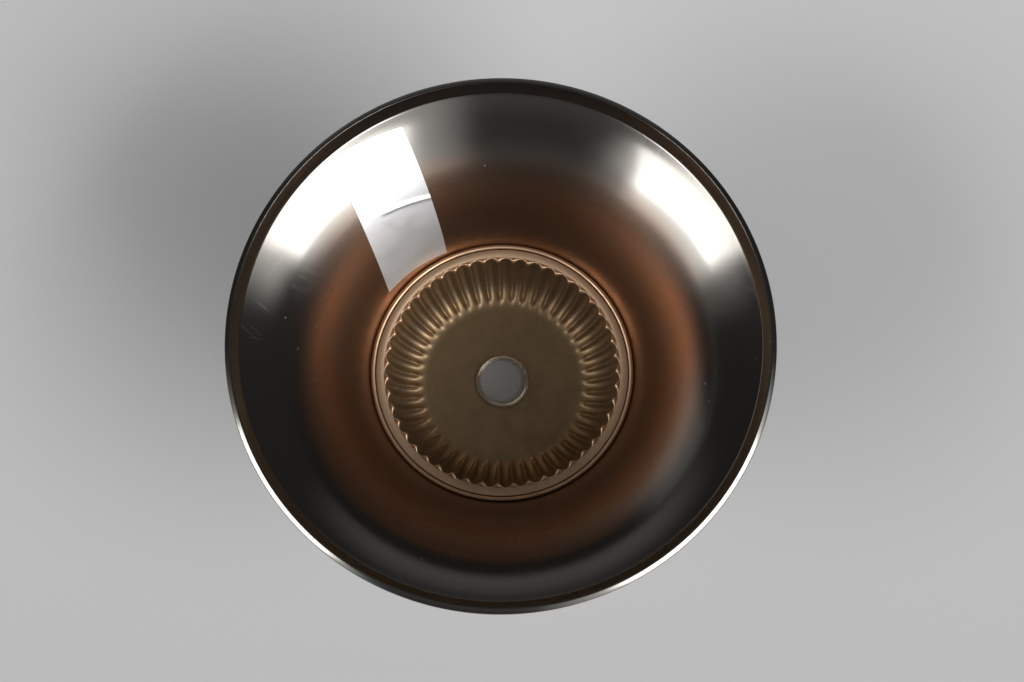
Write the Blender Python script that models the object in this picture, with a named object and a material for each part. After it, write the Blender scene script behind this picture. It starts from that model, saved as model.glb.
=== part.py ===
"""Ceiling cup of a pendant chandelier: the spun bell that hides the ceiling hook, open side up.

The bell carries a pressed, fluted cup in its neck. A wire ring holds the cup's flange down on the bell's
ledge, a turned bush lines the hole that the suspension passes through, and a blank foil label is stuck inside
the bell. The origin is on the axis, at the underside of the cup's floor. Z points to the open rim, and the
sizes are metres.
"""

import math

import bmesh
import bpy
from mathutils import Vector

# Driving dimensions
RIM_DIAMETER = 0.1300
BELL_DEPTH = 0.0416
CUP_DEPTH = 0.0150
CUP_MOUTH_DIAMETER = 0.0615
CUP_FLOOR_DIAMETER = 0.0410
HOLE_DIAMETER = 0.0123
FLUTE_COUNT = 47

# Clearance between pieces that touch
GAP = 0.0003

# Bell: wall, turned-over rim, leaning lip and the flare of its inner wall down to the neck
BELL_WALL = 0.0007
ROLL_WIDTH = 0.0015
ROLL_LAND_WIDTH = 0.00025
ROLL_FALL = math.radians(27)
ROLL_INNER_ROUND = 0.0002
ROLL_OUTER_ROUND = 0.0004
ROLL_END_ANGLE = math.radians(-110)
LIP_LENGTH = 0.00375
LIP_TURN_LENGTH = 0.0010
LIP_LEAN = math.radians(21)
FLARE_SLOPE = math.radians(35)
FLARE_PULL = 0.0120
NECK_SLOPE = math.radians(72)
NECK_PULL = 0.0200
SEAT_DEPTH = 0.0009

# Cup: wall, flange and flutes
CUP_WALL = 0.0007
FLANGE_WIDTH = 0.0028
FLANGE_EDGE_RADIUS = 0.0004
FLUTE_DEPTH = 0.0011
FLUTE_SHARPNESS = 4
FLUTE_END_SHARE = 0.35

# Wire ring that holds the flange
WIRE_RADIUS = 0.0005

# Bush
BUSH_WALL = 0.0005
BUSH_LIP_WIDTH = 0.0012
BUSH_LIP_HEIGHT = 0.0006
BUSH_LIP_ROUND = 0.0002
BUSH_RECESS = 0.0001

# Label: its size, its place on the bell and how far it is turned from straight down the wall
LABEL_LENGTH = 0.0430
LABEL_WIDTH = 0.0197
LABEL_THICKNESS = 0.0002
LABEL_NECK_DISTANCE = 0.0027
LABEL_ANGLE = math.radians(126.5)
LABEL_TURN = math.radians(-7)

# Facets
BELL_SIDES = 64
BELL_WALL_STEPS = 9
LIP_STEPS = 3
ROLL_CROWN_STEPS = 2
ROLL_UNDER_STEPS = 2
ROLL_INNER_STEPS = 2
WIRE_SIDES = 64
WIRE_SECTION_SIDES = 8
BUSH_SIDES = 40
POINTS_PER_FLUTE = 4
CUP_WALL_STEPS = 5
LABEL_STEPS = 8
LABEL_ACROSS_STEPS = 4
WALL_SAMPLES = 200
MERGE_DISTANCE = 0.00001
SHARP_ANGLE = math.radians(35)

# Heights that follow from the sizes above
FLOOR_TOP = CUP_WALL
FLANGE_TOP = FLOOR_TOP + CUP_DEPTH
FLANGE_BOTTOM = FLANGE_TOP - CUP_WALL
LEDGE_TOP = FLANGE_BOTTOM - GAP
LEDGE_BOTTOM = LEDGE_TOP - BELL_WALL
RIM_TOP = FLANGE_TOP + BELL_DEPTH

# Radii that follow from the sizes above
RIM_RADIUS = RIM_DIAMETER / 2
CUP_MOUTH_RADIUS = CUP_MOUTH_DIAMETER / 2
CUP_FLOOR_RADIUS = CUP_FLOOR_DIAMETER / 2
HOLE_RADIUS = HOLE_DIAMETER / 2
BUSH_RADIUS = HOLE_RADIUS + BUSH_WALL
CUP_HOLE_RADIUS = BUSH_RADIUS + GAP
LEDGE_RADIUS = CUP_MOUTH_RADIUS + FLUTE_DEPTH / 2 + CUP_WALL + GAP
FLANGE_RADIUS = CUP_MOUTH_RADIUS + FLANGE_WIDTH
WIRE_CENTRE_RADIUS = FLANGE_RADIUS + GAP + WIRE_RADIUS
SEAT_RADIUS = WIRE_CENTRE_RADIUS + WIRE_RADIUS + GAP


def clear_scene():
    """Removes whatever the scene holds."""
    for obj in list(bpy.data.objects):
        bpy.data.objects.remove(obj, do_unlink=True)


def metal(name, colour, roughness, metallic=1.0):
    """A Principled material of one plain colour."""
    material = bpy.data.materials.new(name)
    material.use_nodes = True
    shader = material.node_tree.nodes["Principled BSDF"]
    shader.inputs["Base Color"].default_value = (*colour, 1.0)
    shader.inputs["Roughness"].default_value = roughness
    shader.inputs["Metallic"].default_value = metallic
    return material


def dark_bronze():
    """Brushed dark bronze of the bell."""
    return metal("dark_bronze", (0.20, 0.15, 0.12), 0.30)


def light_bronze():
    """Paler bronze of the cup and its ring."""
    return metal("light_bronze", (0.38, 0.27, 0.20), 0.38)


def bright_bronze():
    """Polished edge of the bush."""
    return metal("bright_bronze", (0.45, 0.38, 0.31), 0.25)


def silver_foil():
    """Bare foil of the label."""
    return metal("silver_foil", (0.72, 0.72, 0.73), 0.40, 0.6)


def add_object(name, mesh, material):
    """Links a mesh to the scene as a named piece."""
    obj = bpy.data.objects.new(name, mesh)
    bpy.context.scene.collection.objects.link(obj)
    mesh.materials.append(material)
    return obj


def arc(centre, radius, start, end, steps):
    """Points of an arc in the (radius, height) plane, with both ends."""
    angles = [start + (end - start) * i / steps for i in range(steps + 1)]
    return [(centre[0] + radius * math.cos(a), centre[1] + radius * math.sin(a)) for a in angles]


def turned(name, outline, sides, material):
    """Turns a closed outline of (radius, height) points, down the outer side and up the inner one, round Z."""
    mesh = bpy.data.meshes.new(name)
    last = len(outline) - 1
    edges = [(i, i + 1) for i in range(last)] + [(last, 0)]
    mesh.from_pydata([(r, 0, z) for r, z in outline], edges, [])
    obj = add_object(name, mesh, material)
    screw = obj.modifiers.new("turn", "SCREW")
    screw.angle = math.tau
    screw.steps = sides
    screw.render_steps = sides
    screw.use_merge_vertices = True
    screw.merge_threshold = MERGE_DISTANCE
    screw.use_smooth_shade = True
    return obj


def bezier(controls, share):
    """Place and heading at a share of the curve that a list of control points draws."""
    points = controls
    while len(points) > 2:
        points = [near.lerp(far, share) for near, far in zip(points, points[1:])]
    near, far = points
    return near.lerp(far, share), (far - near).normalized()


def along(angle):
    """Unit step in the (radius, height) plane, outwards and up by an angle."""
    return Vector((math.cos(angle), math.sin(angle)))


def roll_centres():
    """Centres of the two rounds of the rim's turned-over edge: the inner one, by the flat land, and the outer."""
    inner = Vector((RIM_RADIUS - ROLL_WIDTH + ROLL_INNER_ROUND, RIM_TOP - ROLL_INNER_ROUND))
    outer_radius = RIM_RADIUS - ROLL_OUTER_ROUND
    crown = ROLL_OUTER_ROUND * along(math.pi / 2 - ROLL_FALL)
    reach = outer_radius + crown.x - (inner.x + ROLL_LAND_WIDTH)
    return inner, Vector((outer_radius, RIM_TOP - reach * math.tan(ROLL_FALL) - crown.y))


def lip_controls():
    """Control points of the lip's foot: the end of the flare, the corner that it rounds, and the lip's start."""
    up_lip = along(math.pi / 2 - LIP_LEAN)
    top = roll_centres()[0] + ROLL_INNER_ROUND * Vector((-up_lip.y, up_lip.x))
    corner = top - LIP_LENGTH * up_lip
    return [corner - LIP_TURN_LENGTH * along(FLARE_SLOPE), corner, corner + LIP_TURN_LENGTH * up_lip]


def wall_controls():
    """Control points of the bell's inner wall, steep at the neck and flatter where it meets the lip."""
    neck = Vector((SEAT_RADIUS, LEDGE_TOP + SEAT_DEPTH))
    flare = lip_controls()[0]
    return [neck, neck + NECK_PULL * along(NECK_SLOPE), flare - FLARE_PULL * along(FLARE_SLOPE), flare]


def offset(controls, share, distance):
    """A point of a curve, moved out through the wall by a distance."""
    place, heading = bezier(controls, share)
    return place + distance * Vector((heading.y, -heading.x))


def bell_line(distance):
    """Points up the bell from its neck to the start of its lip, moved out through the wall by a distance."""
    wall = [offset(wall_controls(), i / BELL_WALL_STEPS, distance) for i in range(BELL_WALL_STEPS)]
    lip = [offset(lip_controls(), i / LIP_STEPS, distance) for i in range(LIP_STEPS + 1)]
    return [tuple(point) for point in wall + lip]


def roll_outside(lip_start):
    """Points of the turned-over edge, from its crown round its outer end and back under it to the lip."""
    outer = roll_centres()[1]
    points = arc(outer, ROLL_OUTER_ROUND, math.pi / 2 - ROLL_FALL, 0, ROLL_CROWN_STEPS)
    points += arc(outer, ROLL_OUTER_ROUND, 0, ROLL_END_ANGLE, ROLL_UNDER_STEPS)[1:]
    rise = outer.y - lip_start[1]
    return points + [(lip_start[0] + rise * math.tan(LIP_LEAN), outer.y)]


def roll_inside():
    """Points of the turned-over edge's inner round, from the lip up to its land and across it."""
    inner = roll_centres()[0]
    points = arc(inner, ROLL_INNER_ROUND, math.pi - LIP_LEAN, math.pi / 2, ROLL_INNER_STEPS)
    return points + [(inner.x + ROLL_LAND_WIDTH, RIM_TOP)]


def make_bell(material):
    """Bell: turned-over rim, lip, flared wall, and the seat and ledge that carry the cup."""
    seat_outer_radius = SEAT_RADIUS + BELL_WALL
    outer = [(r, z) for r, z in bell_line(BELL_WALL) if r > seat_outer_radius + GAP]
    corner = offset(wall_controls(), 0, BELL_WALL)
    outline = roll_outside(outer[-1]) + outer[::-1]
    outline += [(seat_outer_radius, corner.y), (seat_outer_radius, LEDGE_BOTTOM)]
    outline += [(LEDGE_RADIUS, LEDGE_BOTTOM), (LEDGE_RADIUS, LEDGE_TOP), (SEAT_RADIUS, LEDGE_TOP)]
    outline += bell_line(0) + roll_inside()
    return turned("bell_shell", outline, BELL_SIDES, material)


def flute_wave(turn_share):
    """Run of the flutes round the cup: -1 at the crest of a rib, which points inwards, and 1 in a hollow."""
    phase = turn_share * FLUTE_COUNT * math.pi
    return 1 - 2 * abs(math.cos(phase)) ** FLUTE_SHARPNESS


def cup_stations():
    """Closed run of the cup's section as (radius, height, share of the flutes' depth), from inside to outside."""
    drop = CUP_DEPTH - FLANGE_EDGE_RADIUS
    reach = CUP_MOUTH_RADIUS - CUP_FLOOR_RADIUS
    inside = []
    outside = []
    for i in range(CUP_WALL_STEPS + 1):
        angle = math.pi / 2 * i / CUP_WALL_STEPS
        run = Vector((reach * math.cos(angle), -drop * math.sin(angle)))
        place = Vector((CUP_FLOOR_RADIUS, FLOOR_TOP + drop)) + run
        normal = Vector((math.cos(angle) * drop, -math.sin(angle) * reach)).normalized()
        through = place + CUP_WALL * normal
        share = min(1.0, (CUP_WALL_STEPS - i) / CUP_WALL_STEPS / FLUTE_END_SHARE)
        inside.append((place.x, place.y, share))
        outside.append((through.x, through.y, share))
    flange_inner = CUP_MOUTH_RADIUS + FLANGE_EDGE_RADIUS
    stations = [(CUP_HOLE_RADIUS, FLOOR_TOP, 0)] + inside[::-1]
    stations += [(flange_inner, FLANGE_TOP, 1), (FLANGE_RADIUS, FLANGE_TOP, 0)]
    stations += [(FLANGE_RADIUS, FLANGE_BOTTOM, 0)]
    outside[0] = (outside[0][0], FLANGE_BOTTOM, 1)
    stations += outside + [(CUP_HOLE_RADIUS, 0, 0)]
    return stations


def make_cup(material):
    """Fluted cup: rings of points, one for each station of its section, bridged into a closed skin."""
    around = FLUTE_COUNT * POINTS_PER_FLUTE
    shape = bmesh.new()
    rings = []
    for radius, height, share in cup_stations():
        ring = []
        for i in range(around):
            wide = radius + share * FLUTE_DEPTH / 2 * flute_wave(i / around)
            angle = math.tau * i / around
            ring.append(shape.verts.new((wide * math.cos(angle), wide * math.sin(angle), height)))
        rings.append(ring)
    for ring, following in zip(rings, rings[1:] + rings[:1]):
        for i in range(around):
            after = (i + 1) % around
            shape.faces.new((ring[i], following[i], following[after], ring[after]))
    bmesh.ops.recalc_face_normals(shape, faces=shape.faces)
    mesh = bpy.data.meshes.new("fluted_cup")
    shape.to_mesh(mesh)
    shape.free()
    mesh.shade_smooth()
    mesh.set_sharp_from_angle(angle=SHARP_ANGLE)
    return add_object("fluted_cup", mesh, material)


def make_wire_ring(material):
    """Round wire that lies beside the flange's edge, on the bell's ledge."""
    centre = (WIRE_CENTRE_RADIUS, LEDGE_TOP + GAP + WIRE_RADIUS)
    section = arc(centre, WIRE_RADIUS, math.pi / 2, math.pi / 2 - math.tau, WIRE_SECTION_SIDES)
    return turned("neck_ring", section[:-1], WIRE_SIDES, material)


def make_bush(material):
    """Bush: a short sleeve in the cup's hole, with a rounded lip that lies on the floor."""
    lip_bottom = FLOOR_TOP + GAP
    lip_top = lip_bottom + BUSH_LIP_HEIGHT
    lip_radius = HOLE_RADIUS + BUSH_LIP_WIDTH
    outline = [
        (lip_radius - BUSH_LIP_ROUND, lip_top),
        (lip_radius, lip_top - BUSH_LIP_ROUND),
        (lip_radius, lip_bottom),
        (BUSH_RADIUS, lip_bottom),
        (BUSH_RADIUS, BUSH_RECESS),
        (HOLE_RADIUS, BUSH_RECESS),
        (HOLE_RADIUS, lip_top - BUSH_LIP_ROUND),
        (HOLE_RADIUS + BUSH_LIP_ROUND, lip_top),
    ]
    return turned("centre_bush", outline, BUSH_SIDES, material)


def wall_distances():
    """Distances up the bell's inner wall from the neck, each with the share of its curve that reaches it."""
    controls = wall_controls()
    table = [(0.0, 0.0)]
    before = controls[0]
    for i in range(1, WALL_SAMPLES + 1):
        place = bezier(controls, i / WALL_SAMPLES)[0]
        table.append((table[-1][0] + (place - before).length, i / WALL_SAMPLES))
        before = place
    return table


def share_at(table, distance):
    """Share of the wall's curve that lies a distance from the neck."""
    for (near, low), (far, high) in zip(table, table[1:]):
        if distance <= far:
            return low + (high - low) * (distance - near) / (far - near)
    return 1.0


def make_label(material):
    """Foil label: a thin strip that follows the bell's wall up from the neck, turned a little aside."""
    table = wall_distances()
    controls = wall_controls()
    centre_distance = LABEL_NECK_DISTANCE + LABEL_LENGTH / 2
    shape = bmesh.new()
    layers = []
    for lift in (GAP, GAP + LABEL_THICKNESS):
        rows = []
        for i in range(LABEL_STEPS + 1):
            length_place = LABEL_LENGTH * (i / LABEL_STEPS - 0.5)
            row = []
            for j in range(LABEL_ACROSS_STEPS + 1):
                width_place = LABEL_WIDTH * (j / LABEL_ACROSS_STEPS - 0.5)
                up = length_place * math.cos(LABEL_TURN) - width_place * math.sin(LABEL_TURN)
                aside = length_place * math.sin(LABEL_TURN) + width_place * math.cos(LABEL_TURN)
                share = share_at(table, centre_distance + up)
                wall_radius = bezier(controls, share)[0].x
                place = offset(controls, share, -lift)
                angle = LABEL_ANGLE + aside / wall_radius
                point = (place.x * math.cos(angle), place.x * math.sin(angle), place.y)
                row.append(shape.verts.new(point))
            rows.append(row)
        layers.append(rows)
    for rows in layers:
        for row, following in zip(rows, rows[1:]):
            for j in range(LABEL_ACROSS_STEPS):
                shape.faces.new((row[j], row[j + 1], following[j + 1], following[j]))
    rims = [label_edge(rows) for rows in layers]
    for j in range(len(rims[0])):
        after = (j + 1) % len(rims[0])
        shape.faces.new((rims[0][j], rims[0][after], rims[1][after], rims[1][j]))
    bmesh.ops.recalc_face_normals(shape, faces=shape.faces)
    mesh = bpy.data.meshes.new("foil_label")
    shape.to_mesh(mesh)
    shape.free()
    mesh.shade_smooth()
    mesh.set_sharp_from_angle(angle=SHARP_ANGLE)
    return add_object("foil_label", mesh, material)


def label_edge(rows):
    """Points round the edge of one layer of the label."""
    first_side = [row[0] for row in rows[1:-1]]
    last_side = [row[-1] for row in rows[1:-1]]
    return rows[0] + last_side + rows[-1][::-1] + first_side[::-1]


def main():
    """Builds the pieces."""
    clear_scene()
    bell_metal = dark_bronze()
    cup_metal = light_bronze()
    make_bell(bell_metal)
    make_cup(cup_metal)
    make_wire_ring(cup_metal)
    make_bush(bright_bronze())
    make_label(silver_foil())


main()
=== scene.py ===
"""Looks of the ceiling canopy of a pendant chandelier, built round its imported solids.

The canopy stands on the flat floor of its fluted cup, open side up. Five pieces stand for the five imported
nodes: the spun bell, the fluted cup in its neck, the wire ring that holds the cup's flange, the bush in the
cup's hole and the blank foil label on the bell's wall. Sizes are metres, in the frame of the solids.
"""

import logging
import math
from dataclasses import dataclass
from enum import Enum
from typing import Callable, Sequence

import bpy
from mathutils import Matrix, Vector


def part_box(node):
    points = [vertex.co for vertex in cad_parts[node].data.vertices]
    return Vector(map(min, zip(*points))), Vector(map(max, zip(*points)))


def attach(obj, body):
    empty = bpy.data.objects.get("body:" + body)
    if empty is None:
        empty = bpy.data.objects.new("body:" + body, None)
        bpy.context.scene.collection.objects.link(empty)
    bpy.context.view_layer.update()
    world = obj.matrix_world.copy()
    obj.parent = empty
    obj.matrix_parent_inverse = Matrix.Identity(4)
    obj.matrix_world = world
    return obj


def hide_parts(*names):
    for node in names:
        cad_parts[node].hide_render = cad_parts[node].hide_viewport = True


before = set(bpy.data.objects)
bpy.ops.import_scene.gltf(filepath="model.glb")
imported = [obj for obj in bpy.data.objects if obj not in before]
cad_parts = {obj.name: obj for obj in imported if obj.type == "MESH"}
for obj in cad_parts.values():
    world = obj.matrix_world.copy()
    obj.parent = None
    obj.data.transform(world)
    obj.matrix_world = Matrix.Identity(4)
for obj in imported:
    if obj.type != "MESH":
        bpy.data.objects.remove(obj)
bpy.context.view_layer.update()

LOG = logging.getLogger("canopy")
MERGE_DISTANCE = 0.000002

Point = tuple[float, float]
Range = tuple[float, float]
Colour = tuple[float, float, float]
Socket = bpy.types.NodeSocket


class Slot(Enum):
    """Material slots of the record."""

    DARK_BRONZE = "dark_bronze"
    LIGHT_BRONZE = "light_bronze"
    BRIGHT_BRONZE = "bright_bronze"
    SILVER_FOIL = "silver_foil"


# Curves and sections in the (radius, height) plane


def arc(centre: Point, radius: float, start: float, end: float, steps: int) -> list[Point]:
    """Points of an arc, with both ends.

    Args:
        centre: Centre of the arc.
        radius: Radius of the arc.
        start: Angle of the first point, in radians.
        end: Angle of the last point, in radians.
        steps: Number of stretches between the points.

    Returns:
        The points from start to end.
    """
    angles = [start + (end - start) * i / steps for i in range(steps + 1)]
    return [(centre[0] + radius * math.cos(a), centre[1] + radius * math.sin(a)) for a in angles]


def along(angle: float) -> Vector:
    """Unit step outwards and up by an angle."""
    return Vector((math.cos(angle), math.sin(angle)))


def bezier(controls: Sequence[Vector], share: float) -> tuple[Vector, Vector]:
    """Place and heading on the curve that control points draw.

    Args:
        controls: Control points of the curve.
        share: Share of the curve, from 0 to 1.

    Returns:
        The place there, and the unit heading.
    """
    points = list(controls)
    while len(points) > 2:
        points = [near.lerp(far, share) for near, far in zip(points, points[1:])]
    near, far = points
    return near.lerp(far, share), (far - near).normalized()


def beside(controls: Sequence[Vector], share: float, distance: float) -> Vector:
    """A place of a curve, moved to the right of its heading by a distance."""
    place, heading = bezier(controls, share)
    return place + distance * Vector((heading.y, -heading.x))


def smooth_step(low: float, high: float, value: float) -> float:
    """Rises from 0 at low to 1 at high, level at both ends."""
    share = min(1.0, max(0.0, (value - low) / (high - low)))
    return share * share * (3 - 2 * share)


# Modelling steps that the pieces share


def start_piece(name: str) -> bpy.types.Object:
    """Names the primitive that was just added and opens it in edit mode, selected all over.

    Args:
        name: Name of the piece and of its mesh.

    Returns:
        The piece.
    """
    piece = bpy.context.object
    piece.name = name
    piece.data.name = name
    bpy.ops.object.mode_set(mode="EDIT")
    bpy.ops.mesh.select_all(action="SELECT")
    return piece


def close_piece() -> None:
    """Merges doubles, points the faces outwards, and brings the object to the origin."""
    bpy.ops.mesh.select_all(action="SELECT")
    bpy.ops.mesh.remove_doubles(threshold=MERGE_DISTANCE)
    bpy.ops.mesh.normals_make_consistent(inside=False)
    bpy.ops.object.mode_set(mode="OBJECT")
    bpy.ops.object.transform_apply(location=True, rotation=True, scale=True)


def turn(name: str, section: Sequence[Point], sides: int, closed: bool) -> bpy.types.Object:
    """Turns a section round Z, by extruding a circle from ring to ring.

    Args:
        name: Name of the piece.
        section: Radius and height of each ring.
        sides: Number of sides of the circle.
        closed: Whether the last ring joins the first.

    Returns:
        The turned piece.
    """
    bpy.ops.object.select_all(action="DESELECT")
    radius, height = section[0]
    bpy.ops.mesh.primitive_circle_add(vertices=sides, radius=radius, location=(0, 0, height))
    piece = start_piece(name)
    rings = list(section[1:]) + ([section[0]] if closed else [])
    for next_radius, next_height in rings:
        bpy.ops.mesh.extrude_edges_move(TRANSFORM_OT_translate={"value": (0, 0, next_height - height)})
        share = next_radius / radius
        bpy.ops.transform.resize(value=(share, share, 1), center_override=(0, 0, next_height))
        radius, height = next_radius, next_height
    close_piece()
    return piece


def face_up(piece: bpy.types.Object) -> None:
    """Flips an open sheet's faces if its first face points down.

    Args:
        piece: The active piece.
    """
    if piece.data.polygons[0].normal.z < 0:
        bpy.ops.object.mode_set(mode="EDIT")
        bpy.ops.mesh.select_all(action="SELECT")
        bpy.ops.mesh.flip_normals()
        bpy.ops.object.mode_set(mode="OBJECT")


def apply_modifier(piece: bpy.types.Object, kind: str, **settings: object) -> None:
    """Adds a modifier with its settings and applies it.

    Args:
        piece: The active piece.
        kind: The modifier's type.
        **settings: Values of the modifier's properties.
    """
    modifier = piece.modifiers.new(kind.lower(), kind)
    for setting, value in settings.items():
        setattr(modifier, setting, value)
    bpy.ops.object.modifier_apply(modifier=modifier.name)


def weigh(piece: bpy.types.Object, group_name: str, weight: Callable[[Vector], float]) -> None:
    """Gives a piece a vertex group whose weights follow the places of its points.

    Args:
        piece: The piece.
        group_name: Name of the group.
        weight: Weight at a place, from 0 to 1.
    """
    group = piece.vertex_groups.new(name=group_name)
    for vertex in piece.data.vertices:
        amount = weight(vertex.co)
        if amount > 0:
            group.add([vertex.index], amount, "REPLACE")


def hand_over(piece: bpy.types.Object, node: str, finish: bpy.types.Material) -> None:
    """Dresses a finished piece and ties it to the frame.

    Args:
        piece: The finished piece.
        node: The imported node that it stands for.
        finish: Its material.
    """
    piece.data.materials.clear()
    piece.data.materials.append(finish)
    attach(piece, "root")
    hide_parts(node)
    LOG.info("%s: %d faces", piece.name, len(piece.data.polygons))


# Finishes


class Nodes:
    """Nodes of one tree, added and joined by short calls."""

    def __init__(self, tree: bpy.types.NodeTree) -> None:
        """Starts with a tree."""
        self.tree = tree

    def feed(self, target: Socket, source: object) -> None:
        """Links a socket to an input, or sets the input's value.

        Args:
            target: The input.
            source: A socket, a value, or a colour.
        """
        if isinstance(source, bpy.types.NodeSocket):
            self.tree.links.new(source, target)
        elif target.type == "RGBA":
            target.default_value = (*source, 1.0)
        else:
            target.default_value = source

    def node(self, kind: str, inputs: dict[object, object], **settings: object) -> bpy.types.Node:
        """Adds a node.

        Args:
            kind: The node's type.
            inputs: Sockets or values for its inputs, by name or number.
            **settings: Values of the node's own properties.

        Returns:
            The new node.
        """
        made = self.tree.nodes.new(kind)
        for setting, value in settings.items():
            setattr(made, setting, value)
        for key, source in inputs.items():
            self.feed(made.inputs[key], source)
        return made

    def maths(self, operation: str, first: object, second: object = 0.0, third: object = 0.0) -> Socket:
        """Result of a Math node on values or sockets."""
        inputs = {0: first, 1: second, 2: third}
        return self.node("ShaderNodeMath", inputs, operation=operation).outputs[0]

    def noise(self, place: Socket, scale: float, detail: float = 2.0, roughness: float = 0.5) -> Socket:
        """Grey value of a noise at a place."""
        inputs = {"Vector": place, "Scale": scale, "Detail": detail, "Roughness": roughness}
        return self.node("ShaderNodeTexNoise", inputs).outputs[0]

    def spread(self, value: Socket, low: float, high: float, to_low: float, to_high: float) -> Socket:
        """Moves a value from one range to another, smoothly and without passing its ends."""
        inputs = {0: value, 1: low, 2: high, 3: to_low, 4: to_high}
        return self.node("ShaderNodeMapRange", inputs, interpolation_type="SMOOTHSTEP").outputs[0]

    def blend(self, share: object, first: object, second: object) -> Socket:
        """Mixes two colours, the Mix node's inputs 6 and 7, by the share of the second."""
        inputs = {0: share, 6: first, 7: second}
        return self.node("ShaderNodeMix", inputs, data_type="RGBA").outputs[2]


class Surface(Nodes):
    """Nodes of one material, with its shader and the piece's own coordinates."""

    def __init__(self, name: str) -> None:
        """Starts the material.

        Args:
            name: Name of the material.
        """
        self.material = bpy.data.materials.new(name)
        self.material.use_nodes = True
        super().__init__(self.material.node_tree)
        self.shader = self.tree.nodes["Principled BSDF"]
        self.place: Socket = self.tree.nodes.new("ShaderNodeTexCoord").outputs["Object"]

    def scaled(self, amounts: tuple[float, float, float], turned: float) -> Socket:
        """Turns the piece's coordinates round Z and then scales them.

        Args:
            amounts: Scale along X, Y and Z.
            turned: Angle of the turn.

        Returns:
            The turned and scaled coordinates.
        """
        inputs = {"Vector": self.place, "Rotation": (0, 0, turned)}
        aligned = self.node("ShaderNodeMapping", inputs).outputs[0]
        return self.node("ShaderNodeMapping", {"Vector": aligned, "Scale": amounts}).outputs[0]

    def round_place(self) -> tuple[Socket, Socket, Socket]:
        """Finds the shaded point's place round Z.

        Returns:
            Radius from Z, height, and angle round Z.
        """
        parts = self.node("ShaderNodeSeparateXYZ", {0: self.place}).outputs
        flat = self.node("ShaderNodeCombineXYZ", {0: parts[0], 1: parts[1]}).outputs[0]
        radius = self.node("ShaderNodeVectorMath", {0: flat}, operation="LENGTH").outputs["Value"]
        return radius, parts[2], self.maths("ARCTAN2", parts[1], parts[0])

    def ring_noise(self, pitch: float, turns: float, detail: float, roughness: float) -> Socket:
        """Grey value of a noise that is drawn out into rings round Z.

        Args:
            pitch: Spacing of the rings, outwards and up.
            turns: How often the noise changes along a ring, per radian.
            detail: Detail of the noise.
            roughness: Roughness of the noise.

        Returns:
            The grey value.
        """
        radius, height, angle = self.round_place()
        run = self.maths("DIVIDE", self.maths("ADD", radius, height), pitch)
        inputs = {0: run, 1: self.maths("MULTIPLY", angle, turns)}
        return self.noise(self.node("ShaderNodeCombineXYZ", inputs).outputs[0], 1, detail, roughness)

    def join(self, **sources: object) -> None:
        """Joins the shader's inputs.

        Args:
            **sources: Sockets or values by input name, with spaces written as underscores.
        """
        for key, source in sources.items():
            self.feed(self.shader.inputs[key.replace("_", " ")], source)

    def bump(self, height: Socket, distance: float, under: Socket | None = None) -> Socket:
        """Bump of a height.

        Args:
            height: Grey value of the height.
            distance: Height of a full step.
            under: Bump that this one is laid over, if there is one.

        Returns:
            The bumped normal.
        """
        inputs: dict[object, object] = {"Height": height, "Distance": distance, "Strength": 1.0}
        if under is not None:
            inputs["Normal"] = under
        return self.node("ShaderNodeBump", inputs).outputs[0]


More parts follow.
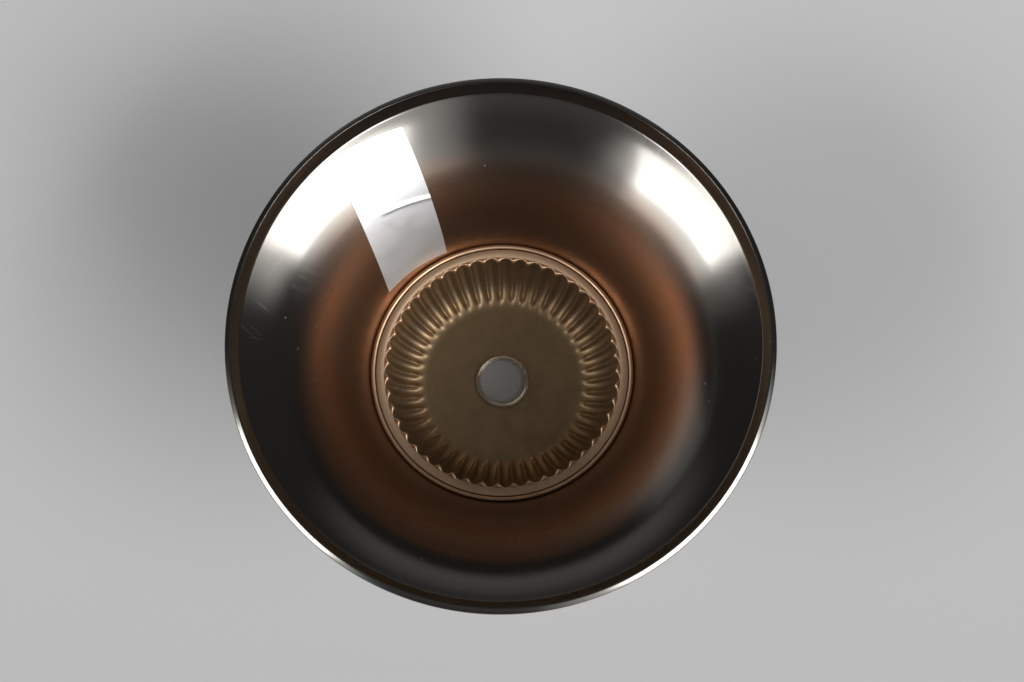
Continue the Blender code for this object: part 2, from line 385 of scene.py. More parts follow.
@dataclass(frozen=True)
class SpunBronze:
    """Dark bronze plating on spun steel: brown at the neck, near black at the rim, brushed round the axis."""

    neck_colour: Colour = (0.275, 0.150, 0.088)
    rim_colour: Colour = (0.155, 0.147, 0.135)
    neck_radius: float = 0.043
    rim_radius: float = 0.054
    metallic: float = 0.965
    roughness: float = 0.112
    neck_roughness: float = 0.27
    mottle_scale: float = 90
    mottle_cut: Range = (0.35, 0.75)
    mottle_share: float = 0.28
    mottle_roughness: float = 0.04
    lathe_pitch: float = 0.00035
    lathe_turns: float = 1.5
    lathe_depth: float = 0.0000016
    lathe_roughness: float = 0.03
    wave_pitch: float = 0.0045
    wave_turns: float = 0.5
    wave_depth: float = 0.000010
    scratch_colour: Colour = (0.5, 0.48, 0.45)
    scratch_angles: tuple[float, ...] = (0.5, -0.9, 1.9)
    scratch_stretches: tuple[float, ...] = (1.0, 0.8, 1.2)
    scratch_fineness: float = 14000
    scratch_reach: float = 90
    scratch_cut: Range = (0.76, 0.84)
    scratch_patch_scale: float = 75
    scratch_patch_cut: Range = (0.56, 0.68)
    scratch_strength: float = 0.2
    scratch_roughness: float = 0.15
    dust_colour: Colour = (0.62, 0.61, 0.58)
    dust_spacing: float = 0.0035
    dust_cut: Range = (0.0225, 0.045)
    dust_patch_scale: float = 70
    dust_patch_cut: Range = (0.50, 0.62)
    dust_strength: float = 0.7
    dust_roughness: float = 0.4
    speck_depth: float = 0.000012

    def build(self) -> bpy.types.Material:
        """Makes the material.

        Returns:
            The finished material.
        """
        surface = Surface("dark_bronze")
        radius = surface.round_place()[0]
        mottle = surface.noise(surface.place, self.mottle_scale, detail=4, roughness=0.6)
        lathe = surface.ring_noise(self.lathe_pitch, self.lathe_turns, detail=3, roughness=0.6)
        wave = surface.ring_noise(self.wave_pitch, self.wave_turns, detail=1, roughness=0.4)
        scratches = self.scratches(surface)
        dust = self.dust(surface)
        outwards = surface.spread(radius, self.neck_radius, self.rim_radius, 0, 1)
        colour = surface.blend(outwards, self.neck_colour, self.rim_colour)
        mottled = surface.spread(mottle, *self.mottle_cut, 0, self.mottle_share)
        colour = surface.blend(mottled, colour, self.rim_colour)
        colour = surface.blend(scratches, colour, self.scratch_colour)
        colour = surface.blend(dust, colour, self.dust_colour)
        rough = surface.spread(radius, self.neck_radius, self.rim_radius, self.neck_roughness, self.roughness)
        rough = surface.maths("MULTIPLY_ADD", mottle, self.mottle_roughness, rough)
        rough = surface.maths("MULTIPLY_ADD", lathe, self.lathe_roughness, rough)
        rough = surface.maths("MULTIPLY_ADD", scratches, self.scratch_roughness, rough)
        rough = surface.maths("MULTIPLY_ADD", dust, self.dust_roughness, rough)
        normal = surface.bump(wave, self.wave_depth)
        normal = surface.bump(lathe, self.lathe_depth, normal)
        normal = surface.bump(surface.maths("SUBTRACT", dust, scratches), self.speck_depth, normal)
        metal = surface.maths("SUBTRACT", self.metallic, dust)
        surface.join(Base_Color=colour, Metallic=metal, Roughness=rough, Normal=normal)
        return surface.material

    def scratches(self, surface: Surface) -> Socket:
        """Few fine scratches in several directions: stretched noise cut off near its top.

        Args:
            surface: Nodes of the material.

        Returns:
            Strength of the scratches.
        """
        total: object = 0.0
        for turned, stretch in zip(self.scratch_angles, self.scratch_stretches):
            amounts = (self.scratch_fineness * stretch, self.scratch_reach, self.scratch_reach)
            place = surface.scaled(amounts, turned)
            line = surface.spread(surface.noise(place, 1, detail=0, roughness=0), *self.scratch_cut, 0, 1)
            cloud = surface.noise(surface.place, self.scratch_patch_scale * stretch, detail=1)
            patch = surface.spread(cloud, *self.scratch_patch_cut, 0, self.scratch_strength)
            total = surface.maths("MAXIMUM", total, surface.maths("MULTIPLY", line, patch))
        return total

    def dust(self, surface: Surface) -> Socket:
        """Specks of dust: the hearts of scattered cells, in patches.

        Args:
            surface: Nodes of the material.

        Returns:
            Strength of the dust.
        """
        inputs = {"Vector": surface.place, "Scale": 1 / self.dust_spacing}
        heart = surface.node("ShaderNodeTexVoronoi", inputs).outputs["Distance"]
        speck = surface.spread(heart, *self.dust_cut, 1, 0)
        cloud = surface.noise(surface.place, self.dust_patch_scale, detail=2)
        patch = surface.spread(cloud, *self.dust_patch_cut, 0, self.dust_strength)
        return surface.maths("MULTIPLY", speck, patch)


@dataclass(frozen=True)
class SatinBronze:
    """Satin pale bronze plating on pressed steel: painted light on the flange, painted shade on floor and
    flutes.
    """

    # These three colours are one plating: painted light lifts the flange's, painted shade in the cup's hollow
    # lowers the floor's and the flutes'.
    lit_flange_colour: Colour = (0.88, 0.61, 0.40)
    shaded_floor_colour: Colour = (0.49, 0.345, 0.20)
    shaded_flute_colour: Colour = (0.36, 0.268, 0.175)
    wear_share: float = 0.82
    wear_scale: float = 160
    wear_cut: Range = (0.35, 0.7)
    flute_foot: Range = (0.0012, 0.0040)
    flute_head: Range = (0.0140, 0.0152)
    roughness: float = 0.42
    worn_roughness: float = 0.50
    roughness_cut: Range = (0.3, 0.7)
    grain_pitch: float = 0.0004
    grain_depth: float = 0.000004
    ring_turns: float = 2
    ring_depth: float = 0.000002
    ring_roughness: float = 0.05

    def build(self) -> bpy.types.Material:
        """Makes the material.

        Returns:
            The finished material.
        """
        surface = Surface("light_bronze")
        height = surface.round_place()[1]
        cloud = surface.noise(surface.place, self.wear_scale, detail=5, roughness=0.6)
        grain = surface.noise(surface.place, 1 / self.grain_pitch, detail=2, roughness=0.6)
        rings = surface.ring_noise(self.grain_pitch, self.ring_turns, detail=2, roughness=0.5)
        # Colour by height: painted shade from the floor up the flutes, painted light on the flange.
        foot = surface.spread(height, *self.flute_foot, 0, 1)
        head = surface.spread(height, *self.flute_head, 0, 1)
        colour = surface.blend(foot, self.shaded_floor_colour, self.shaded_flute_colour)
        colour = surface.blend(head, colour, self.lit_flange_colour)
        inputs = {0: colour, "Scale": self.wear_share}
        worn = surface.node("ShaderNodeVectorMath", inputs, operation="SCALE").outputs[0]
        colour = surface.blend(surface.spread(cloud, *self.wear_cut, 0, 1), colour, worn)
        rough = surface.spread(cloud, *self.roughness_cut, self.roughness, self.worn_roughness)
        rough = surface.maths("MULTIPLY_ADD", rings, self.ring_roughness, rough)
        normal = surface.bump(grain, self.grain_depth)
        normal = surface.bump(rings, self.ring_depth, normal)
        surface.join(Base_Color=colour, Metallic=1.0, Roughness=rough, Normal=normal)
        return surface.material


@dataclass(frozen=True)
class PolishedBronze:
    """Turned bronze of the bush, with fine tool marks round its bore."""

    colour: Colour = (0.72, 0.62, 0.48)
    dull_colour: Colour = (0.58, 0.48, 0.36)
    dull_scale: float = 260
    dull_cut: Range = (0.45, 0.75)
    roughness: float = 0.17
    dull_roughness: float = 0.25
    roughness_cut: Range = (0.3, 0.8)
    tool_pitch: float = 0.00012
    tool_turns: float = 1.2
    tool_depth: float = 0.000003

    def build(self) -> bpy.types.Material:
        """Makes the material.

        Returns:
            The finished material.
        """
        surface = Surface("bright_bronze")
        marks = surface.ring_noise(self.tool_pitch, self.tool_turns, detail=2, roughness=0.5)
        tarnish = surface.noise(surface.place, self.dull_scale, detail=3, roughness=0.5)
        colour = surface.blend(surface.spread(tarnish, *self.dull_cut, 0, 1), self.colour, self.dull_colour)
        rough = surface.spread(tarnish, *self.roughness_cut, self.roughness, self.dull_roughness)
        normal = surface.bump(marks, self.tool_depth)
        surface.join(Base_Color=colour, Metallic=1.0, Roughness=rough, Normal=normal)
        return surface.material


@dataclass(frozen=True)
class SilverFoil:
    """Blank silver foil: satin, with faint wrinkles and pressed spots."""

    colour: Colour = (0.60, 0.60, 0.605)
    shade_colour: Colour = (0.51, 0.51, 0.515)
    shade_scale: float = 130
    shade_cut: Range = (0.3, 0.75)
    metallic: float = 0.7
    roughness: Range = (0.37, 0.49)
    roughness_cut: Range = (0.3, 0.7)
    wrinkle_scales: tuple[float, float, float] = (90, 90, 260)
    wrinkle_angle: float = 0.4
    wrinkle_depth: float = 0.00006
    grain_scale: float = 5200
    grain_depth: float = 0.000003

    def build(self) -> bpy.types.Material:
        """Makes the material.

        Returns:
            The finished material.
        """
        surface = Surface("silver_foil")
        cloud = surface.noise(surface.place, self.shade_scale, detail=4, roughness=0.55)
        across = surface.scaled(self.wrinkle_scales, self.wrinkle_angle)
        wrinkle = surface.noise(across, 1, detail=3, roughness=0.5)
        grain = surface.noise(surface.place, self.grain_scale, detail=1)
        colour = surface.blend(surface.spread(cloud, *self.shade_cut, 0, 1), self.colour, self.shade_colour)
        rough = surface.spread(cloud, *self.roughness_cut, *self.roughness)
        normal = surface.bump(wrinkle, self.wrinkle_depth)
        normal = surface.bump(grain, self.grain_depth, normal)
        surface.join(Base_Color=colour, Metallic=self.metallic, Roughness=rough, Normal=normal)
        return surface.material


# Pieces


@dataclass
class Bell:
    """Spun bell: turned-over rim, leaning lip, flared wall, and the seat and ledge at its neck."""

    wall: float = 0.0007
    roll_width: float = 0.0015
    roll_land_width: float = 0.00025
    roll_fall: float = math.radians(27)
    roll_inner_round: float = 0.00012
    roll_outer_round: float = 0.0004
    roll_end_angle: float = -math.pi * 0.62
    lip_length: float = 0.00375
    lip_turn_length: float = 0.0004
    lip_lean: float = math.radians(21)
    flare_slope: float = math.radians(35)
    flare_pull: float = 0.0126
    neck_slope: float = math.radians(72)
    neck_pull: float = 0.0200
    seat_depth: float = 0.0009
    seat_gap: float = 0.0003
    corner_radius: float = 0.0003
    sides: int = 256
    wall_steps: int = 40
    lip_steps: int = 12
    roll_steps: int = 10
    land_steps: int = 3
    corner_steps: int = 4
    ledge_steps: int = 8
    smooth_angle: float = math.radians(40)

    def __post_init__(self) -> None:
        """Takes the bell's own extents, and those of what it carries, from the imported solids."""
        low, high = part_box("bell_shell")
        cup_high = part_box("fluted_cup")[1]
        ring_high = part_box("neck_ring")[1]
        self.rim_radius: float = high.x
        self.rim_top: float = high.z
        self.ledge_bottom: float = low.z
        self.ledge_top: float = low.z + self.wall
        self.seat_radius: float = ring_high.x + self.seat_gap
        self.ledge_radius: float = cup_high.x - (ring_high.x - cup_high.x)

    def roll_centres(self) -> tuple[Vector, Vector, Vector]:
        """Finds the centres of the turned-over edge's rounds.

        Returns:
            The centres before the land, after it, and at the outer end.
        """
        inner_round, outer_round = self.roll_inner_round, self.roll_outer_round
        inner = Vector((self.rim_radius - self.roll_width + inner_round, self.rim_top - inner_round))
        land_end = inner + Vector((self.roll_land_width, 0))
        apart = self.rim_radius - outer_round - land_end.x
        drop = (outer_round - inner_round + apart * math.sin(self.roll_fall)) / math.cos(self.roll_fall)
        return inner, land_end, land_end + Vector((apart, -drop))

    def lip_controls(self) -> list[Vector]:
        """Finds the control points of the lip's foot.

        Returns:
            The end of the flare, the corner that the foot rounds, and the start of the straight lip.
        """
        up_lip = along(math.pi / 2 - self.lip_lean)
        top = self.roll_centres()[0] + self.roll_inner_round * Vector((-up_lip.y, up_lip.x))
        corner = top - self.lip_length * up_lip
        turn_length = self.lip_turn_length
        return [corner - turn_length * along(self.flare_slope), corner, corner + turn_length * up_lip]

    def wall_controls(self) -> list[Vector]:
        """Finds the control points of the inner wall, steep at the neck and flatter where it meets the lip.

        Returns:
            The points from the neck to the end of the flare.
        """
        neck = Vector((self.seat_radius, self.ledge_top + self.seat_depth))
        flare = self.lip_controls()[0]
        leaving = neck + self.neck_pull * along(self.neck_slope)
        return [neck, leaving, flare - self.flare_pull * along(self.flare_slope), flare]

    def line(self, distance: float) -> list[Point]:
        """Runs up the bell from its neck to the lip.

        Args:
            distance: How far the line lies from the inner wall, out through the sheet.

        Returns:
            The points of the line.
        """
        wall = [beside(self.wall_controls(), i / self.wall_steps, distance) for i in range(self.wall_steps)]
        lip = [beside(self.lip_controls(), i / self.lip_steps, distance) for i in range(self.lip_steps + 1)]
        return [tuple(point) for point in wall + lip]

    def section(self) -> list[Point]:
        """Draws the closed section, from the turned-over edge down the outside and up the inside.

        Returns:
            The points of the section.
        """
        seat_outer = self.seat_radius + self.wall
        outer = [(r, z) for r, z in self.line(self.wall) if r > seat_outer]
        round_edge = self.corner_radius
        inner_roll, land_end, outer_roll = self.roll_centres()
        crown = math.pi / 2 - self.roll_fall
        lip_side = math.pi - self.lip_lean
        points = arc(tuple(outer_roll), self.roll_outer_round, crown, self.roll_end_angle, self.roll_steps)
        lip_foot = Vector(outer[-1])
        rise = outer_roll.y - lip_foot.y
        points += [(lip_foot.x + rise * math.tan(self.lip_lean), outer_roll.y)]
        points += outer[::-1]
        low_corner = (seat_outer - round_edge, self.ledge_bottom + round_edge)
        points += arc(low_corner, round_edge, 0, -math.pi / 2, self.corner_steps)
        ledge_end = (self.ledge_radius + self.wall / 2, self.ledge_bottom + self.wall / 2)
        points += arc(ledge_end, self.wall / 2, -math.pi / 2, -math.pi * 3 / 2, self.ledge_steps)
        points += [(self.seat_radius - round_edge, self.ledge_top)]
        points += self.line(0)
        points += arc(tuple(inner_roll), self.roll_inner_round, lip_side, math.pi / 2, self.roll_steps)
        points += arc(tuple(land_end), self.roll_inner_round, math.pi / 2, crown, self.land_steps)
        return points

    def build(self, finish: bpy.types.Material) -> None:
        """Models the bell and dresses it.

        Args:
            finish: Material of the bell.
        """
        piece = turn("bell", self.section(), self.sides, closed=True)
        bpy.ops.object.shade_smooth_by_angle(angle=self.smooth_angle)
        hand_over(piece, "bell_shell", finish)


@dataclass
class FlutedCup:
    """Pressed cup with a flange, fluted wall and flat floor with the suspension's hole."""

    wall: float = 0.0007
    floor_radius: float = 0.0205
    mouth_radius: float = 0.03075
    mouth_round: float = 0.00018
    flange_crown_drop: float = 0.00035
    flange_crown_place: float = 0.80
    flute_count: int = 47
    flute_depth: float = 0.0011
    flute_sharpness: float = 3.6
    flute_foot_height: float = 0.0012
    edge_round: float = 0.00022
    edge_angle: float = math.radians(70)
    edge_segments: int = 3
    hole_clearance: float = 0.00005
    points_per_flute: int = 12
    floor_steps: int = 8
    wall_steps: int = 30
    mouth_steps: int = 6
    flange_steps: int = 8
    smooth_angle: float = math.radians(50)

    def __post_init__(self) -> None:
        """Takes the cup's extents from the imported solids."""
        low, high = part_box("fluted_cup")
        self.flange_radius: float = high.x
        self.flange_top: float = high.z
        self.floor_top: float = low.z + self.wall
        self.hollow_mouth: float = self.mouth_radius + self.flute_depth / 2

    def section(self, hole_radius: float) -> list[Point]:
        """Draws the sheet's upper side along a hollow of the flutes, from the hole to the flange's edge.

        Args:
            hole_radius: Radius of the hole.

        Returns:
            The points of the section.
        """
        wall_top = self.flange_top - self.flange_crown_drop - self.mouth_round
        reach = self.hollow_mouth - self.floor_radius
        drop = wall_top - self.floor_top
        floor_step = (self.floor_radius - hole_radius) / self.floor_steps
        points = [(hole_radius + floor_step * i, self.floor_top) for i in range(self.floor_steps)]
        for i in range(self.wall_steps + 1):
            angle = math.pi / 2 * (1 - i / self.wall_steps)
            points.append((self.floor_radius + reach * math.cos(angle), wall_top - drop * math.sin(angle)))
        round_centre = (self.hollow_mouth + self.mouth_round, wall_top)
        points += arc(round_centre, self.mouth_round, math.pi, math.pi / 2, self.mouth_steps)[1:]
        flange_width = self.flange_radius - round_centre[0]
        for i in range(1, self.flange_steps + 1):
            from_crown = (i / self.flange_steps - self.flange_crown_place) / self.flange_crown_place
            height = self.flange_top - self.flange_crown_drop * from_crown * from_crown
            points.append((round_centre[0] + flange_width * i / self.flange_steps, height))
        return points

    def flute_weight(self, place: Vector) -> float:
        """How far a point is pushed in towards the crest of its rib.

        Args:
            place: Place of the point.

        Returns:
            The share of the flutes' depth.
        """
        angle = math.atan2(place.y, place.x)
        crest = abs(math.cos(angle * self.flute_count / 2)) ** self.flute_sharpness
        radius = math.hypot(place.x, place.y)
        foot = smooth_step(self.floor_top, self.floor_top + self.flute_foot_height, place.z)
        mouth = 1 - smooth_step(self.hollow_mouth, self.hollow_mouth + self.mouth_round, radius)
        return crest * foot * mouth

    def build(self, finish: bpy.types.Material, hole_radius: float) -> None:
        """Models the cup and dresses it.

        Args:
            finish: Material of the cup.
            hole_radius: Radius of the sleeve that the hole has to clear.
        """
        sides = self.flute_count * self.points_per_flute
        piece = turn("fluted_cup", self.section(hole_radius + self.hole_clearance), sides, closed=False)
        face_up(piece)
        weigh(piece, "flutes", self.flute_weight)
        apply_modifier(
            piece,
            "DISPLACE",
            direction="NORMAL",
            vertex_group="flutes",
            mid_level=0,
            strength=self.flute_depth,
        )
        apply_modifier(piece, "SOLIDIFY", thickness=self.wall, offset=-1, use_even_offset=False)
        apply_modifier(
            piece,
            "BEVEL",
            limit_method="ANGLE",
            angle_limit=self.edge_angle,
            width=self.edge_round,
            segments=self.edge_segments,
        )
        bpy.ops.object.shade_smooth_by_angle(angle=self.smooth_angle)
        hand_over(piece, "fluted_cup", finish)


@dataclass
class NeckRing:
    """Round wire beside the flange's edge, sprung out against the bell and flat where it meets the ledge."""

    spring: float = 0.00014
    flat_depth: float = 0.00006
    around: int = 256
    across: int = 20
    smooth_angle: float = math.radians(40)

    def build(self, finish: bpy.types.Material) -> None:
        """Models the ring and dresses it.

        Args:
            finish: Material of the ring.
        """
        low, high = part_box("neck_ring")
        wire_radius = (high.z - low.z + self.spring) / 2
        bpy.ops.object.select_all(action="DESELECT")
        bpy.ops.mesh.primitive_torus_add(
            major_segments=self.around,
            minor_segments=self.across,
            major_radius=high.x + self.spring - wire_radius,
            minor_radius=wire_radius,
            location=(0, 0, (high.z + low.z) / 2),
        )
        piece = start_piece("neck_ring")
        # The cut leaves two open loops, and the bridge between them is the flat
        bpy.ops.mesh.bisect(
            plane_co=(0, 0, low.z + self.flat_depth),
            plane_no=(0, 0, 1),
            clear_inner=True,
            threshold=MERGE_DISTANCE,
        )
        bpy.ops.mesh.bridge_edge_loops()
        close_piece()
        bpy.ops.object.shade_smooth_by_angle(angle=self.smooth_angle)
        hand_over(piece, "neck_ring", finish)


@dataclass
class CentreBush:
    """Turned bush: a sleeve through the cup's floor, with a lip whose two edges are rounded."""

    sleeve_wall: float = 0.0005
    lip_width: float = 0.0012
    lip_height: float = 0.0006
    edge_round: float = 0.00028
    groove_depth: float = 0.00016
    sides: int = 128
    edge_steps: int = 6
    smooth_angle: float = math.radians(35)

    def __post_init__(self) -> None:
        """Takes the bush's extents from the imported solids."""
        low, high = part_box("centre_bush")
        self.lip_radius: float = high.x
        self.hole_radius: float = high.x - self.lip_width
        self.sleeve_radius: float = self.hole_radius + self.sleeve_wall
        self.top: float = high.z
        self.bottom: float = low.z

    def section(self) -> list[Point]:
        """Draws the closed section, from the lip's outer edge down the outside and up the bore.

        Returns:
            The points of the section.
        """
        edge = self.edge_round
        edge_height = self.top - edge
        lip_bottom = self.top - self.lip_height
        points = arc((self.lip_radius - edge, edge_height), edge, math.pi / 2, 0, self.edge_steps)
        points += [(self.lip_radius, lip_bottom), (self.sleeve_radius, lip_bottom)]
        points += [(self.sleeve_radius, self.bottom), (self.hole_radius, self.bottom)]
        points += arc((self.hole_radius + edge, edge_height), edge, math.pi, math.pi / 2, self.edge_steps)
        points += [((self.hole_radius + self.lip_radius) / 2, self.top - self.groove_depth)]
        return points

    def build(self, finish: bpy.types.Material) -> None:
        """Models the bush and dresses it.

        Args:
            finish: Material of the bush.
        """
        piece = turn("centre_bush", self.section(), self.sides, closed=True)
        bpy.ops.object.shade_smooth_by_angle(angle=self.smooth_angle)
        hand_over(piece, "centre_bush", finish)


@dataclass
class FoilLabel:
    """Blank foil label that follows the bell's wall, with one crease across it."""

    length: float = 0.0430
    width: float = 0.0197
    thickness: float = 0.00005
    neck_distance: float = 0.0027
    angle: float = math.radians(126.5)
    turned: float = math.radians(-7)
    lift: float = 0.00012
    crease_place_share: float = 0.53
    crease_lean_share: float = -0.05
    crease_start_share: float = 0.25
    crease_fade_share: float = 0.2
    crease_height: float = 0.00028
    crease_width: float = 0.00055
    length_steps: int = 150
    width_steps: int = 64
    wall_samples: int = 400
    smooth_angle: float = math.radians(60)

    def wall_shares(self, controls: Sequence[Vector]) -> list[Point]:
        """Measures the bell's inner wall from the neck up.

        Args:
            controls: Control points of the wall.

        Returns:
            Distances from the neck, each with its share of the wall's curve.
        """
        table = [(0.0, 0.0)]
        before = controls[0]
        for i in range(1, self.wall_samples + 1):
            place = bezier(controls, i / self.wall_samples)[0]
            table.append((table[-1][0] + (place - before).length, i / self.wall_samples))
            before = place
        return table

    @staticmethod
    def share_at(table: Sequence[Point], distance: float) -> float:
        """Looks up a place of the wall.

        Args:
            table: Distances from the neck, each with its share of the wall's curve.
            distance: Distance from the neck.

        Returns:
            Share of the wall's curve there.
        """
        for (near, low), (far, high) in zip(table, table[1:]):
            if distance <= far:
                return low + (high - low) * (distance - near) / (far - near)
        return 1.0

    def height(self, length_share: float, width_share: float) -> float:
        """Height of the foil over the wall.

        Args:
            length_share: Place up the label, from 0 to 1.
            width_share: Place across the label, from 0 to 1.

        Returns:
            The height there.
        """
        crease_line = self.crease_place_share + self.crease_lean_share * (width_share - 0.5)
        from_crease = (length_share - crease_line) * self.length / self.crease_width
        fade_end = self.crease_start_share + self.crease_fade_share
        fade = smooth_step(self.crease_start_share, fade_end, width_share)
        return self.lift + self.crease_height * fade * math.exp(-from_crease * from_crease)

    def build(self, finish: bpy.types.Material, bell: Bell) -> None:
        """Models the label on the bell's wall and dresses it.

        Args:
            finish: Material of the label.
            bell: The bell that it is stuck to.
        """
        bpy.ops.object.select_all(action="DESELECT")
        bpy.ops.mesh.primitive_grid_add(
            x_subdivisions=self.length_steps, y_subdivisions=self.width_steps, size=1, location=(0, 0, 0)
        )
        piece = start_piece("foil_label")
        bpy.ops.transform.resize(value=(self.length, self.width, 1), center_override=(0, 0, 0))
        bpy.ops.object.mode_set(mode="OBJECT")
        controls = bell.wall_controls()
        table = self.wall_shares(controls)
        centre_distance = self.neck_distance + self.length / 2
        for vertex in piece.data.vertices:
            lengthwise, widthwise = vertex.co.x, vertex.co.y
            lift = self.height(lengthwise / self.length + 0.5, 0.5 - widthwise / self.width)
            up = lengthwise * math.cos(self.turned) - widthwise * math.sin(self.turned)
            aside = lengthwise * math.sin(self.turned) + widthwise * math.cos(self.turned)
            share = self.share_at(table, centre_distance + up)
            place = beside(controls, share, -lift)
            angle = self.angle + aside / bezier(controls, share)[0].x
            vertex.co = (place.x * math.cos(angle), place.x * math.sin(angle), place.y)
        face_up(piece)
        apply_modifier(piece, "SOLIDIFY", thickness=self.thickness, offset=-1)
        bpy.ops.object.shade_smooth_by_angle(angle=self.smooth_angle)
        hand_over(piece, "foil_label", finish)


# Stage


@dataclass(frozen=True)
class Softbox:
    """Softbox aimed at the canopy, by compass heading from +X and by elevation, in degrees."""

    name: str
    heading: float
    elevation: float
    distance: float
    width: float
    height: float
    power: float

    def build(self, target: Vector) -> None:
        """Hangs the softbox.

        Args:
            target: The point that it faces.
        """
        data = bpy.data.lights.new(self.name, "AREA")
        data.shape = "RECTANGLE"
        data.size = self.width
        data.size_y = self.height
        data.energy = self.power
        lamp = bpy.data.objects.new(self.name, data)
        heading, elevation = math.radians(self.heading), math.radians(self.elevation)
        flat = math.cos(elevation)
        away = Vector((flat * math.cos(heading), flat * math.sin(heading), math.sin(elevation)))
        lamp.location = target + away * self.distance
        lamp.rotation_euler = (-away).to_track_quat("-Z", "Y").to_euler()
        bpy.context.scene.collection.objects.link(lamp)


@dataclass(frozen=True)
class Glow:
    """Patch of the room that is brighter than the rest, with its headings and elevations in degrees."""

    heading: float
    half_width: float
    side_blur: float
    rise: Range
    fall: Range
    strength: float

    def build(self, nodes: Nodes, level_step: Socket, height: Socket) -> Socket:
        """Adds the nodes of the patch.

        Args:
            nodes: Nodes of the world.
            level_step: Level unit step of the looked-up direction.
            height: Height of its unit step.

        Returns:
            The patch's strength in that direction.
        """
        heading = math.radians(self.heading)
        inputs = {0: level_step, 1: (math.cos(heading), math.sin(heading), 0)}
        ahead = nodes.node("ShaderNodeVectorMath", inputs, operation="DOT_PRODUCT").outputs["Value"]
        outer = math.cos(math.radians(self.half_width + self.side_blur))
        inner = math.cos(math.radians(self.half_width - self.side_blur))
        across = nodes.spread(ahead, outer, inner, 0, self.strength)
        rise_start, rise_end = (math.sin(math.radians(part)) for part in self.rise)
        fall_start, fall_end = (math.sin(math.radians(part)) for part in self.fall)
        risen = nodes.spread(height, rise_start, rise_end, 0, 1)
        fallen = nodes.spread(height, fall_start, fall_end, 1, 0)
        return nodes.maths("MULTIPLY", across, nodes.maths("MULTIPLY", risen, fallen))


@dataclass(frozen=True)
class Table:
    """Pale table top with painted shade: darker to the front and far from the canopy."""

    colour: Colour = (0.560, 0.561, 0.565)
    size: float = 6.0
    front_shade_share: float = 0.83
    front: float = -0.09
    back: float = 0.09
    cloud_scale: float = 3
    cloud_share: float = 0.1
    far_shade_share: float = 0.5
    far_start: float = 0.2
    far_end: float = 1.3
    roughness: float = 0.6
    specular: float = 0.2

    def dimmed(self, share: float) -> Colour:
        """Share of the table's colour."""
        return tuple(part * share for part in self.colour)

    def build(self) -> None:
        """Lays the table under the canopy."""
        bpy.ops.object.select_all(action="DESELECT")
        bpy.ops.mesh.primitive_plane_add(size=self.size, location=(0, 0, 0))
        top = bpy.context.object
        top.name = "table_top"
        surface = Surface("table_paint")
        # Painted shade: the colour darkens to the front, with a faint random cloud in its share.
        depth = surface.node("ShaderNodeSeparateXYZ", {0: surface.place}).outputs[1]
        share = surface.spread(depth, self.front, self.back, 0, 1)
        cloud = surface.noise(surface.place, self.cloud_scale, detail=3, roughness=0.5)
        share = surface.maths("MULTIPLY_ADD", cloud, self.cloud_share, share)
        front_shaded_colour = surface.blend(share, self.dimmed(self.front_shade_share), self.colour)
        # Painted shade: the colour darkens far from the canopy.
        away = surface.spread(surface.round_place()[0], self.far_start, self.far_end, 0, 1)
        colour = surface.blend(away, front_shaded_colour, self.dimmed(self.far_shade_share))
        surface.join(Base_Color=colour, Roughness=self.roughness, Specular_IOR_Level=self.specular)
        top.data.materials.append(surface.material)


@dataclass(frozen=True)
class Room:
    """Dim room with a lighter ceiling, and brighter patches round the softboxes, behind and in front."""

    colour: Colour = (1.0, 1.0, 1.0)
    strength: float = 0.042
    ceiling_strength: float = 0.09
    ceiling_start: float = math.radians(38)
    ceiling_end: float = math.radians(52)
    glows: tuple[Glow, ...] = (
        Glow(heading=-34, half_width=22, side_blur=7, rise=(5, 21), fall=(19, 26), strength=4.3),
        Glow(heading=-29, half_width=29, side_blur=9, rise=(14, 26), fall=(33, 44), strength=2.2),
        Glow(heading=-152, half_width=20, side_blur=8, rise=(14, 24), fall=(32, 44), strength=1.5),
        Glow(heading=-16, half_width=12, side_blur=8, rise=(34, 41), fall=(48, 60), strength=1.3),
        Glow(heading=-155.5, half_width=17.5, side_blur=5, rise=(-2, 18), fall=(19, 26), strength=3.6),
        Glow(heading=-48, half_width=20, side_blur=16, rise=(0, 8), fall=(44, 60), strength=1.4),
        Glow(heading=-154, half_width=27, side_blur=10, rise=(2, 10), fall=(26, 36), strength=0.5),
        Glow(heading=95, half_width=34, side_blur=14, rise=(-6, 2), fall=(8, 21), strength=0.25),
        Glow(heading=-92, half_width=45, side_blur=15, rise=(-4, 3), fall=(14, 28), strength=0.07),
        Glow(heading=-92, half_width=50, side_blur=20, rise=(-4, 3), fall=(60, 80), strength=0.04),
        Glow(heading=-100, half_width=30, side_blur=20, rise=(32, 44), fall=(60, 80), strength=0.08),
    )

    def build(self) -> None:
        """Lights the world."""
        world = bpy.context.scene.world or bpy.data.worlds.new("room")
        bpy.context.scene.world = world
        world.use_nodes = True
        nodes = Nodes(world.node_tree)
        direction = nodes.node("ShaderNodeTexCoord", {}).outputs["Generated"]
        height = nodes.node("ShaderNodeSeparateXYZ", {0: direction}).outputs[2]
        level_inputs = {0: direction, 1: (1, 1, 0)}
        level = nodes.node("ShaderNodeVectorMath", level_inputs, operation="MULTIPLY").outputs[0]
        level_step = nodes.node("ShaderNodeVectorMath", {0: level}, operation="NORMALIZE").outputs[0]
        edge, inside = math.sin(self.ceiling_start), math.sin(self.ceiling_end)
        total = nodes.spread(height, edge, inside, self.strength, self.ceiling_strength)
        for glow in self.glows:
            total = nodes.maths("ADD", total, glow.build(nodes, level_step, height))
        background = nodes.tree.nodes["Background"]
        nodes.feed(background.inputs["Strength"], total)
        nodes.feed(background.inputs["Color"], self.colour)


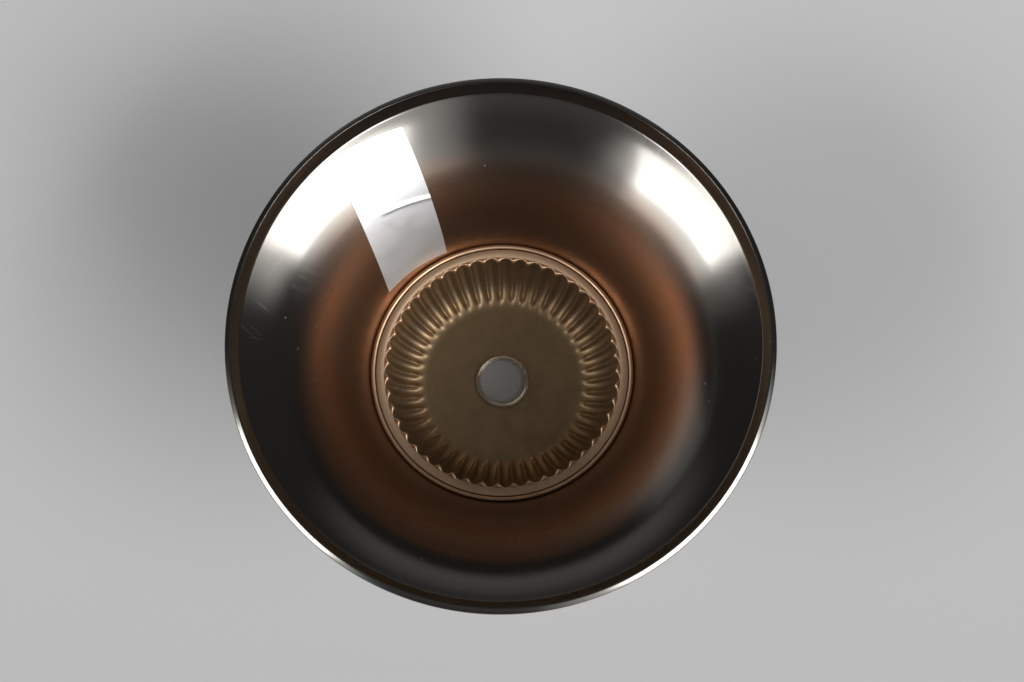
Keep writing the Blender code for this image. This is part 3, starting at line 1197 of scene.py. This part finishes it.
@dataclass(frozen=True)
class PhotoCamera:
    """Camera of the photograph: steep from the front, a little to the right of the axis."""

    distance: float = 0.300
    tilt: float = math.radians(13.70)
    aside: float = 0.00264
    drop: float = 0.00214
    lens: float = 44.88
    sensor_width: float = 36.0
    clip_start: float = 0.01
    clip_end: float = 20

    def build(self, target: Vector) -> None:
        """Sets the camera up.

        Args:
            target: Middle of the canopy's rim.
        """
        data = bpy.data.cameras.new("photo_camera")
        data.lens = self.lens
        data.sensor_width = self.sensor_width
        data.clip_start = self.clip_start
        data.clip_end = self.clip_end
        camera = bpy.data.objects.new("photo_camera", data)
        view = Vector((0, math.sin(self.tilt), -math.cos(self.tilt)))
        up = Vector((0, math.cos(self.tilt), math.sin(self.tilt)))
        camera.location = target - view * self.distance
        camera.location += Vector((self.aside, 0, 0)) - up * self.drop
        camera.rotation_euler = (self.tilt, 0, 0)
        bpy.context.scene.collection.objects.link(camera)
        bpy.context.scene.camera = camera


@dataclass(frozen=True)
class Studio:
    """Table, room, camera and softboxes."""

    table: Table = Table()
    room: Room = Room()
    camera: PhotoCamera = PhotoCamera()
    right_softbox: Softbox = Softbox(
        "softbox_right", heading=-33.5, elevation=29.7, distance=3.2, width=2.56, height=1.32, power=72.8
    )
    left_softbox: Softbox = Softbox(
        "softbox_left", heading=-155.5, elevation=28.4, distance=3.2, width=1.90, height=1.18, power=49.2
    )

    def build(self, target: Vector) -> None:
        """Builds the stage.

        Args:
            target: Middle of the canopy's rim.
        """
        self.table.build()
        self.room.build()
        self.camera.build(target)
        self.right_softbox.build(target)
        self.left_softbox.build(target)
        bpy.context.scene.view_settings.view_transform = "Standard"


def main() -> None:
    """Builds the canopy's pieces and the stage."""
    logging.basicConfig(level=logging.INFO, format="%(name)s %(message)s")
    pale = SatinBronze().build()
    bell = Bell()
    bell.build(SpunBronze().build())
    bush = CentreBush()
    FlutedCup().build(pale, bush.sleeve_radius)
    NeckRing().build(pale)
    bush.build(PolishedBronze().build())
    FoilLabel().build(SilverFoil().build(), bell)
    Studio().build(Vector((0, 0, bell.rim_top)))


if __name__ == "__main__":
    main()
